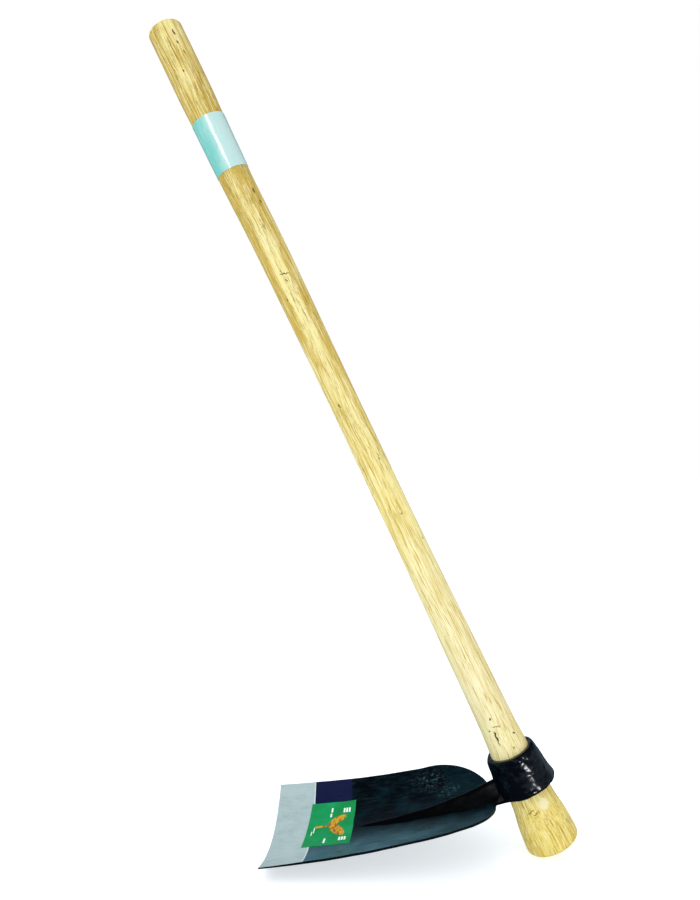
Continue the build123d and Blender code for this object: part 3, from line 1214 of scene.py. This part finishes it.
@dataclass
class HandleLabel:
    """Film band wound on the handle below the grip.

    Attributes:
        low: Height of its lower edge.
        high: Height of its upper edge.
        low_radius: Radius of its inside at the lower edge.
        high_radius: Radius of its inside at the upper edge.
        thickness: Of the film.
        lap: Half width of the glued lap at the back, in radians.
        lap_rise: How far the lap stands out.
    """

    low: float = 0.749
    high: float = 0.813
    low_radius: float = 0.01800
    high_radius: float = 0.01880
    thickness: float = 0.00045
    lap: float = 0.16
    lap_rise: float = 0.00022

    @property
    def slope(self) -> float:
        """Growth of the radius with height."""
        return (self.high_radius - self.low_radius) / (self.high - self.low)

    def outside(self, co: Vector) -> bool:
        """Whether a place is in the outer half of the film."""
        inner = self.low_radius + self.slope * (co.z - self.low)
        return math.hypot(co.x, co.y) > inner + self.thickness / 2

    def build(self, stance: Stance) -> None:
        """Wind, crease and finish the band.

        Args:
            stance: How the head's frame stands.
        """
        heights = steps(self.low, self.high, 0.002) + [self.high]
        inside = [Ring(h, self.low_radius + self.slope * (h - self.low)) for h in heights]
        outside = [Ring(r.height, r.radius + self.thickness) for r in inside]
        piece = turn("handle_label_visual", outside + inside[::-1], 120, closed_wall=True)
        edit(piece)
        pick(piece, lambda co: abs(math.atan2(co.x, co.y)) < self.lap and self.outside(co))
        middle = (self.low_radius + self.high_radius) / 2
        swell = 1 + self.lap_rise / middle
        bpy.ops.transform.resize(value=(swell, swell, 1), center_override=(0, 0, 0))
        leave()
        outer = weigh(piece, "outside", self.outside)
        roughen(piece, 0.006, 0.0003, outer, (1, 1, 5), middle=0.35)
        soften(piece)
        stance.stand(piece)
        piece.data.materials.append(FilmFinish().made(stance))
        register(piece, Body.HANDLE, Slot.LABEL, "handle_label")


@dataclass
class EyeRing:
    """Forged collar that the handle goes through.

    Attributes:
        height: Of its upper rim.
        foot: Of its lower rim.
        low_radius: Outer radius at the lower rim.
        high_radius: Outer radius at the upper rim.
        bore_low: Bore radius at the lower rim.
        bore_high: Bore radius at the upper rim.
        rounding: Of the outer rims.
        bore_rounding: Of the bore's upper rim.
        around: Points round each ring.
        bore_skin: Depth of the wall that stays true round the bore.
        fade: Depth over which the unevenness then grows.
    """

    height: float = 0.0403
    foot: float = -0.0028
    low_radius: float = 0.0342
    high_radius: float = 0.0276
    bore_low: float = 0.02357
    bore_high: float = 0.02185
    rounding: float = 0.0024
    bore_rounding: float = 0.0009
    around: int = 180
    bore_skin: float = 0.0015
    fade: float = 0.002

    def rings(self) -> list[Ring]:
        """Rings round the wall: up the outside, over the rim and down the bore."""
        rim, bore = self.rounding, self.bore_rounding
        made = rounded((self.low_radius - rim * 1.1, self.foot + rim), rim, -90, 0, 6)
        tall = self.height - self.foot
        slope = (self.high_radius - self.low_radius) / tall
        for height in steps(self.foot + rim, self.height - rim, 0.0013)[1:]:
            made.append(Ring(height, self.low_radius + slope * (height - self.foot)))
        made += rounded((self.high_radius - rim, self.height - rim), rim, 0, 90, 6)
        made += rounded((self.bore_high + bore, self.height - bore), bore, 90, 180, 4)
        taper = (self.bore_high - self.bore_low) / tall
        for height in steps(self.height - bore, self.foot, 0.004)[1:]:
            made.append(Ring(height, self.bore_low + taper * (height - self.foot)))
        made.append(Ring(self.foot, self.bore_low))
        return made

    def build(self, stance: Stance) -> None:
        """Forge and paint the ring.

        Args:
            stance: How the head's frame stands.
        """
        piece = turn("eye_ring_visual", self.rings(), self.around, closed_wall=True)
        wall = self.bore_low + self.bore_skin
        group = weigh(piece, "forged", lambda co: (math.hypot(co.x, co.y) - wall) / self.fade)
        roughen(piece, 0.016, 0.0013, group, (1, 1, 1.3))
        roughen(piece, 0.0060, 0.00070, group, (1, 1, 1), middle=0.45)
        soften(piece, degrees=60)
        stance.stand(piece)
        piece.data.materials.append(ForgedPaint("eye_paint").made(stance))
        register(piece, Body.HEAD, Slot.EYE, "eye_ring")


@dataclass
class NeckRib:
    """Forged neck that grows out of the eye and tapers into a rib along the blade.

    Attributes:
        plate: The blade's bench.
        stations: Reach from the handle's axis, half width and crest height, all on the plate.
        across: Edges across the section.
        pitch: Distance between sections.
        nose: Share of the half width that the rounded crest takes.
        hollow: Power that hollows the flanks towards their foot.
        bite: How far the foot sinks into the plate.
    """

    plate: PlateFrame
    stations: tuple[Triple, ...] = (
        (0.0215, 0.0212, 0.0262), (0.0270, 0.0204, 0.0222), (0.0330, 0.0200, 0.0190),
        (0.043, 0.0198, 0.0169), (0.056, 0.0186, 0.0141), (0.072, 0.0168, 0.0112),
        (0.105, 0.0136, 0.0067), (0.130, 0.0114, 0.0044), (0.150, 0.0092, 0.0029),
        (0.175, 0.0062, 0.0013), (0.194, 0.0030, 0.0002),
    )
    across: int = 36
    pitch: float = 0.0022
    nose: float = 0.24
    hollow: float = 1.45
    bite: float = 0.0014

    def section(self, share: float) -> Pair:
        """Sideways place and height of the unit section, from its crest to its foot."""
        at_nose = (1 - self.nose) ** self.hollow
        slope = self.hollow * (1 - self.nose) ** (self.hollow - 1)
        top = at_nose + slope * self.nose / 2
        if share > self.nose:
            return share, (1 - share) ** self.hollow / top
        return share, (top - slope * share * share / (2 * self.nose)) / top

    def build(self, stance: Stance) -> None:
        """Draw out, weld and paint the rib.

        Args:
            stance: How the head's frame stands.
        """
        piece = chain("neck_rib_visual", self.across)
        widths = [(reach, half) for reach, half, _ in self.stations]
        crests = [(reach, crest) for reach, _, crest in self.stations]
        start, end = self.stations[0][0], self.stations[-1][0]
        raise_pairs(piece, self.across, self.section)
        select_all()
        bpy.ops.transform.resize(value=(1, widths[0][1], crests[0][1]), center_override=(0, 0, 0))
        bpy.ops.transform.translate(value=(start - self.plate.reach, 0, self.plate.level(start)))
        width, crest, before = widths[0][1], crests[0][1], start
        for reach in steps(start, end, self.pitch)[1:] + [end]:
            new_width, new_crest = smooth_through(widths, reach), smooth_through(crests, reach)
            rise = self.plate.level(reach) - self.plate.level(before)
            about = Vector((reach - self.plate.reach, 0, self.plate.level(reach)))
            spread = Vector((1, new_width / width, new_crest / crest))
            grow(Vector((reach - before, 0, rise)), spread, about)
            width, crest, before = new_width, new_crest, reach
        self.close()
        group = weigh(piece, "forged", lambda co: 1.0)
        roughen(piece, 0.014, 0.0007, group, (2.2, 1, 1))
        soften(piece, degrees=60)
        stance.stand(piece, self.plate.matrix)
        # Painted shade: the rib's copy of the black paint is darker than the eye's, so that its
        # flank reads black.
        finish = ForgedPaint(
            "rib_paint", tone(1, 2, 5), tone(2, 6, 10),
            gloss=0.30, dull=0.42, sheen=0.18, lump=0.0006,
        )
        piece.data.materials.append(finish.made(stance))
        register(piece, Body.HEAD, Slot.RIB, "neck_rib")

    def close(self) -> None:
        """Sink the rib's foot into the plate, and close its underside and its ends."""
        select_all()
        bpy.ops.mesh.region_to_loop()
        bpy.ops.mesh.extrude_region_move(TRANSFORM_OT_translate={"value": (0, 0, -self.bite)})
        bpy.ops.mesh.edge_face_add()
        bpy.ops.mesh.quads_convert_to_tris()
        heal()
        leave()


@dataclass
class Blade:
    """Pressed plate, hollow across and along, with a ground band at its edge.

    Attributes:
        plate: The blade's bench.
        thickness: Of the plate.
        edge_thickness: At the cutting edge.
        edge_reach: Cutting edge from the handle's axis.
        edge_half: Half width at the cutting edge.
        shoulder_half: Half width at the shoulders.
        shoulder_radius: Of the round shoulders.
        shoulder_reach: Centre of their curve, from the handle's axis.
        tongue: Reaches and half widths of the neck end.
        tongue_end: Half width where the neck turns into the shoulder's curve.
        ground_reach: Where the ground band starts.
        across: Edges across the plate.
        pitch: Distance between rows.
        scale_patches: Middle and radii of the rough patches on the hollow face.
        arc_step: Degrees between rows round the shoulders.
        fade: Length over which the unevenness ends before the ground band.
        true_end: Length kept true before that band.
        edge_skin: How far above the underside a bare face still counts as the edge.
    """

    plate: PlateFrame
    thickness: float = 0.0025
    edge_thickness: float = 0.0014
    edge_reach: float = 0.2869
    edge_half: float = 0.0971
    shoulder_half: float = 0.0851
    shoulder_radius: float = 0.068
    shoulder_reach: float = 0.1054
    tongue: tuple[Pair, ...] = (
        (0.0300, 0.0165), (0.0322, 0.0167), (0.0344, 0.0175), (0.0361, 0.0190),
        (0.0371, 0.0211),
    )
    tongue_end: float = 0.024
    ground_reach: float = 0.2425
    across: int = 64
    pitch: float = 0.0034
    scale_patches: tuple[tuple[float, float, float, float], ...] = (
        (0.104, -0.062, 0.028, 0.026), (0.111, 0.047, 0.022, 0.022),
        (0.084, -0.036, 0.020, 0.018),
    )
    arc_step: float = 4.2
    fade: float = 0.02
    true_end: float = 0.006
    edge_skin: float = 0.0002

    def rows(self) -> list[Pair]:
        """Reach and half width of each row, from the neck to the cutting edge."""
        made = list(self.tongue)
        inset = self.shoulder_half - self.shoulder_radius
        widening = self.edge_half - self.shoulder_half
        flare = math.atan2(widening, self.edge_reach - self.shoulder_reach)
        last = 90 + math.degrees(flare)
        first = math.degrees(math.asin((self.tongue_end - inset) / self.shoulder_radius))
        for angle in steps(first, last, self.arc_step) + [last]:
            turned = math.radians(angle)
            made.append((
                self.shoulder_reach - self.shoulder_radius * math.cos(turned),
                inset + self.shoulder_radius * math.sin(turned),
            ))
        top, half = made[-1]

        def side(reach: float) -> float:
            """Half width on the straight side."""
            return half + (self.edge_half - half) * (reach - top) / (self.edge_reach - top)

        reaches = steps(top, self.ground_reach, self.pitch)[1:]
        reaches += steps(self.ground_reach, self.edge_reach, self.pitch) + [self.edge_reach]
        return made + [(reach, side(reach)) for reach in reaches]

    def sheet(self) -> Piece:
        """The hollow face, row by row, in edit mode."""
        piece = chain("blade_visual", self.across)
        rows = self.rows()
        reach, half = rows[0]
        raise_pairs(piece, self.across, lambda share: (
            share * half, self.plate.rise(reach, share * half),
        ))
        select_all()
        bpy.ops.transform.translate(value=(reach - self.plate.reach, 0, self.plate.level(reach)))
        for new_reach, new_half in rows[1:]:
            spread = new_half / half
            arch = spread * spread * self.plate.radius(reach) / self.plate.radius(new_reach)
            rise = self.plate.level(new_reach) - self.plate.level(reach)
            about = Vector((new_reach - self.plate.reach, 0, self.plate.level(new_reach)))
            grow(Vector((new_reach - reach, 0, rise)), Vector((1, spread, arch)), about)
            reach, half = new_reach, new_half
        return piece

    def scaly(self, co: Vector) -> float:
        """Share of the rough scale at a place on the hollow face."""
        reach = co.x + self.plate.reach
        best = 0.0
        for middle, side, long, wide in self.scale_patches:
            away = math.hypot((reach - middle) / long, (co.y - side) / wide)
            best = max(best, min(1.0, 1.6 * (1 - away)))
        return best

    def build(self, stance: Stance) -> Piece:
        """Press, grind, stand and paint the blade.

        Args:
            stance: How the head's frame stands.

        Returns:
            The piece.
        """
        piece = self.sheet()
        select_all()
        bpy.ops.mesh.normals_make_consistent(inside=False)
        bpy.ops.mesh.subdivide(number_cuts=1)
        leave()
        self.face_up(piece)
        end = self.ground_reach - self.true_end
        painted = weigh(piece, "painted", lambda co: (end - co.x - self.plate.reach) / self.fade)
        scaly = weigh(piece, "scaly", self.scaly)
        roughen(piece, 0.030, 0.0009, painted, (1, 1, 1))
        roughen(piece, 0.0042, 0.0014, scaly, (1, 1, 1), depth=2)
        self.thicken(piece)
        stance.stand(piece, self.plate.matrix)
        self.wear_flat(piece)
        self.dress(piece, stance)
        soften(piece, degrees=30)
        register(piece, Body.HEAD, Slot.BLADE, "blade")
        return piece

    def face_up(self, piece: Piece) -> None:
        """Turn the sheet's faces towards the hollow side."""
        if sum(face.normal.z for face in piece.data.polygons) < 0:
            edit(piece)
            select_all()
            bpy.ops.mesh.flip_normals()
            leave()

    def thicken(self, piece: Piece) -> None:
        """Give the sheet its thickness, then grind the band on its hollow face down to the edge."""
        edit(piece)
        select_all()
        bpy.ops.mesh.extrude_region_move(TRANSFORM_OT_translate={"value": (0, 0, -self.thickness)})
        heal()
        start = self.ground_reach - self.plate.reach
        band = self.edge_reach - self.ground_reach
        fall = (self.thickness - self.edge_thickness) / band
        leave()
        reaches = sorted({round(v.co.x, 5) for v in piece.data.vertices if v.co.x > start + 1e-4})
        edit(piece)
        for reach in reaches:
            found = pick(piece, lambda co: (
                abs(co.x - reach) < 2e-5 and self.skin(co) > -self.thickness / 2
            ))
            if found:
                bpy.ops.transform.translate(value=(0, 0, -fall * (reach - start)))
        leave()

    def wear_flat(self, piece: Piece) -> None:
        """Cut away what would be below the ground, and close the cut."""
        edit(piece)
        select_all()
        bpy.ops.mesh.bisect(
            plane_co=(0, 0, 0), plane_no=(0, 0, 1), use_fill=True, clear_inner=True, threshold=1e-6,
        )
        leave()

    def dress(self, piece: Piece, stance: Stance) -> None:
        """Paint the plate, and leave the ground band and the cutting edge bare."""
        bench = stance.matrix @ self.plate.matrix
        paint = BladePaint().made(bench, self.plate, self.scale_patches)
        steel = GroundSteel().made(bench, self.ground_reach - self.plate.reach)
        piece.data.materials.append(paint)
        piece.data.materials.append(steel)
        back = bench.inverted()
        for face in piece.data.polygons:
            middle = back @ face.center
            reach = middle.x + self.plate.reach
            level = abs(face.normal.z) > 0.5
            above = self.skin(middle) > -self.thickness + self.edge_skin
            face.material_index = 1 if level and above and reach > self.ground_reach else 0

    def skin(self, co: Vector) -> float:
        """Height of a place on the bench above the hollow face."""
        reach = co.x + self.plate.reach
        return co.z - self.plate.level(reach) - self.plate.rise(reach, co.y)


@dataclass
class BladeSticker:
    """Paper sticker pressed onto the hollow face.

    Attributes:
        plate: The blade's bench.
        length: Along the blade.
        width: Across it.
        reach: Its middle, from the handle's axis.
        offset: Its middle, from the blade's middle line.
        turned: Its turn, in degrees.
        torn: Torn corner, along and across.
        thickness: Of the paper.
        grid: Edges along and across it.
        lift: How far above the blade it is cut, before it is pressed down.
        gap: Left between it and the blade.
    """

    plate: PlateFrame
    length: float = 0.052
    width: float = 0.089
    reach: float = 0.2223
    offset: float = -0.0075
    turned: float = -3.6
    torn: Pair = (0.005, 0.015)
    thickness: float = 0.00022
    grid: tuple[int, int] = (52, 90)
    lift: float = 0.02
    gap: float = 0.00008

    @property
    def bench(self) -> Matrix:
        """Its own bench, on the blade's bench."""
        shift = Matrix.Translation((self.reach - self.plate.reach, self.offset, 0))
        return shift @ Matrix.Rotation(math.radians(self.turned), 4, "Z")

    def build(self, stance: Stance, blade: Piece) -> None:
        """Cut, press down and print the sticker.

        Args:
            stance: How the head's frame stands.
            blade: The finished blade it is stuck on.
        """
        clear_selection()
        bpy.ops.mesh.primitive_grid_add(
            x_subdivisions=self.grid[0], y_subdivisions=self.grid[1], size=1, location=(0, 0, 0),
        )
        piece = bpy.context.object
        piece.name = piece.data.name = "blade_sticker_visual"
        edit(piece)
        select_all()
        bpy.ops.transform.resize(value=(self.length, self.width, 1), center_override=(0, 0, 0))
        corner = (self.length / 2 - self.torn[0], -self.width / 2, 0)
        cut = Vector((self.torn[0], self.torn[1], 0))
        bpy.ops.mesh.bisect(plane_co=corner, plane_no=(cut.y, -cut.x, 0), clear_outer=True)
        leave()
        bench = self.plate.matrix @ self.bench
        stance.stand(piece, bench @ Matrix.Translation((0, 0, self.lift)))
        self.press(piece, blade)
        piece.data.materials.append(StickerPrint().made(stance.matrix @ bench))
        soften(piece)
        register(piece, Body.HEAD, Slot.STICKER, "blade_sticker")

    def press(self, piece: Piece, blade: Piece) -> None:
        """Press the sheet onto the blade and give it its thickness."""
        onto = piece.modifiers.new("pressed", "SHRINKWRAP")
        onto.target = blade
        onto.wrap_method = "NEAREST_SURFACEPOINT"
        onto.wrap_mode = "ABOVE_SURFACE"
        onto.offset = self.gap
        wall = piece.modifiers.new("paper", "SOLIDIFY")
        wall.thickness = self.thickness
        wall.offset = 1.0
        apply_all(piece)


# ---- studio ---------------------------------------------------------------------------


@dataclass
class Lamp:
    """One soft light that shows only in the gloss of the pieces.

    Attributes:
        name: Its name.
        place: Where it hangs.
        size: Length of its square side.
        power: In watts.
        aim: The point it faces.
    """

    name: str
    place: Triple
    size: float
    power: float
    aim: Triple

    def hang(self) -> None:
        """Add the light, seen only in gloss."""
        data = bpy.data.lights.new(self.name, "AREA")
        data.shape, data.size, data.energy = "SQUARE", self.size, self.power
        lamp = bpy.data.objects.new(self.name, data)
        bpy.context.scene.collection.objects.link(lamp)
        lamp.location = self.place
        way = Vector(self.aim) - Vector(self.place)
        lamp.rotation_euler = way.to_track_quat("-Z", "Y").to_euler()
        lamp.visible_diffuse = False


@dataclass
class Studio:
    """Pale floor, soft light and the camera.

    Attributes:
        eye: The camera's place.
        turned: Its turn, in degrees.
        lens: Its lens, in millimetres.
        film: Width of its film, in millimetres.
        floor_half: Half the floor's side.
        floor_drop: How far the floor lies under the hoe, so that they don't share a level.
        ceiling: Colour of the dark room that gloss shows.
        band: Colour of the backdrop round it.
        even: Colour of the even light.
        floor_glow: Colour of the floor's own faint light, which thins the shadows.
        glow_strength: Strength of that light.
        lamps: The lights that show in the gloss.
        sun_power: Strength of the broad light from above.
        sun_spread: Its width, in degrees.
        sun_aim: The way it shines.
    """

    eye: Triple = (0.015514, -0.887998, 0.446079)
    turned: Triple = (89.3736, -2.2073, 1.8534)
    lens: float = 32.0
    film: float = 36.0
    floor_half: float = 14.0
    floor_drop: float = 0.0002
    ceiling: Colour = (0.035, 0.045, 0.055, 1.0)
    band: Colour = (0.22, 0.29, 0.35, 1.0)
    even: Colour = (0.93, 0.94, 0.95, 1.0)
    floor_glow: Colour = (0.92, 0.97, 1.0, 1.0)
    glow_strength: float = 0.66
    lamps: Sequence[Lamp] = (
        Lamp("left_softbox", (-0.47, -1.40, 1.27), 0.26, 3.6, (-0.17, 0.0, 0.77)),
        Lamp("right_softbox", (0.90, -1.25, 0.22), 0.24, 5.0, (0.2, 0.0, 0.08)),
    )
    sun_power: float = 0.9
    sun_spread: float = 50.0
    sun_aim: Triple = (0.40, 0.45, -0.80)

    def build(self) -> None:
        """Set the floor, the light and the camera."""
        self.lay_floor()
        self.light_backdrop()
        self.add_sun()
        for lamp in self.lamps:
            lamp.hang()
        self.set_camera()
        bpy.context.scene.view_settings.view_transform = "Standard"

    def lay_floor(self) -> None:
        """Lay the pale floor, which glows a little and stays out of the black gloss."""
        clear_selection()
        bpy.ops.mesh.primitive_plane_add(
            size=2 * self.floor_half, location=(0, 0, -self.floor_drop),
        )
        floor = bpy.context.object
        floor.name = "studio_floor"
        graph = Graph("floor_paper")
        place = graph.node("TexCoord", {}).outputs["Object"]
        cloud = graph.noise(place, 5, 3, 0.5)
        colour = graph.mix(cloud, tone(206, 210, 215), tone(202, 207, 213))
        floor.data.materials.append(graph.finish(
            Base_Color=colour, Roughness=0.9, Specular_IOR_Level=0.0,
            Emission_Color=self.floor_glow, Emission_Strength=self.glow_strength,
        ))
        floor.visible_glossy = False

    def light_backdrop(self) -> None:
        """Even light on the pieces, a white view, and a dark room with a dim band in the gloss."""
        world = bpy.data.worlds.new("studio")
        bpy.context.scene.world = world
        world.use_nodes = True
        tree = world.node_tree
        tree.nodes.clear()
        coord, parts, height, ramp, rays, backdrop, even, seen, lit, shown, out = (
            tree.nodes.new(f"ShaderNode{kind}") for kind in (
                "TexCoord", "SeparateXYZ", "MapRange", "ValToRGB", "LightPath", "Background",
                "Background", "Background", "MixShader", "MixShader", "OutputWorld",
            )
        )
        height.inputs["From Min"].default_value = -1.0
        row = ramp.color_ramp
        row.elements[0].position, row.elements[0].color = 0.38, self.ceiling
        row.elements[1].position, row.elements[1].color = 0.78, self.ceiling
        for place in (0.50, 0.62):
            row.elements.new(place).color = self.band
        even.inputs["Color"].default_value = self.even
        seen.inputs["Color"].default_value = (1, 1, 1, 1)
        for source, target in (
            (coord.outputs["Generated"], parts.inputs[0]),
            (parts.outputs["Z"], height.inputs[0]),
            (height.outputs[0], ramp.inputs[0]),
            (ramp.outputs[0], backdrop.inputs["Color"]),
            (rays.outputs["Is Diffuse Ray"], lit.inputs[0]),
            (backdrop.outputs[0], lit.inputs[1]),
            (even.outputs[0], lit.inputs[2]),
            (rays.outputs["Is Camera Ray"], shown.inputs[0]),
            (lit.outputs[0], shown.inputs[1]),
            (seen.outputs[0], shown.inputs[2]),
            (shown.outputs[0], out.inputs["Surface"]),
        ):
            tree.links.new(source, target)

    def add_sun(self) -> None:
        """Hang the broad light, which gloss doesn't show."""
        data = bpy.data.lights.new("broad_light", "SUN")
        data.energy, data.angle = self.sun_power, math.radians(self.sun_spread)
        sun = bpy.data.objects.new("broad_light", data)
        bpy.context.scene.collection.objects.link(sun)
        sun.rotation_euler = Vector(self.sun_aim).to_track_quat("-Z", "Y").to_euler()
        sun.visible_glossy = False

    def set_camera(self) -> None:
        """Set the camera."""
        data = bpy.data.cameras.new("camera")
        data.lens, data.sensor_width = self.lens, self.film
        camera = bpy.data.objects.new("camera", data)
        bpy.context.scene.collection.objects.link(camera)
        camera.location = self.eye
        camera.rotation_euler = Euler([math.radians(angle) for angle in self.turned])
        bpy.context.scene.camera = camera


# ---- all together ---------------------------------------------------------------------


def main() -> None:
    """Build every piece and the studio."""
    logging.basicConfig(level=logging.INFO, format="%(name)s: %(message)s")
    stance, plate = Stance(), PlateFrame()
    for piece in (Handle(), HandleLabel(), EyeRing(), NeckRib(plate)):
        piece.build(stance)
    blade = Blade(plate).build(stance)
    BladeSticker(plate).build(stance, blade)
    Studio().build()


if __name__ == "__main__":
    main()
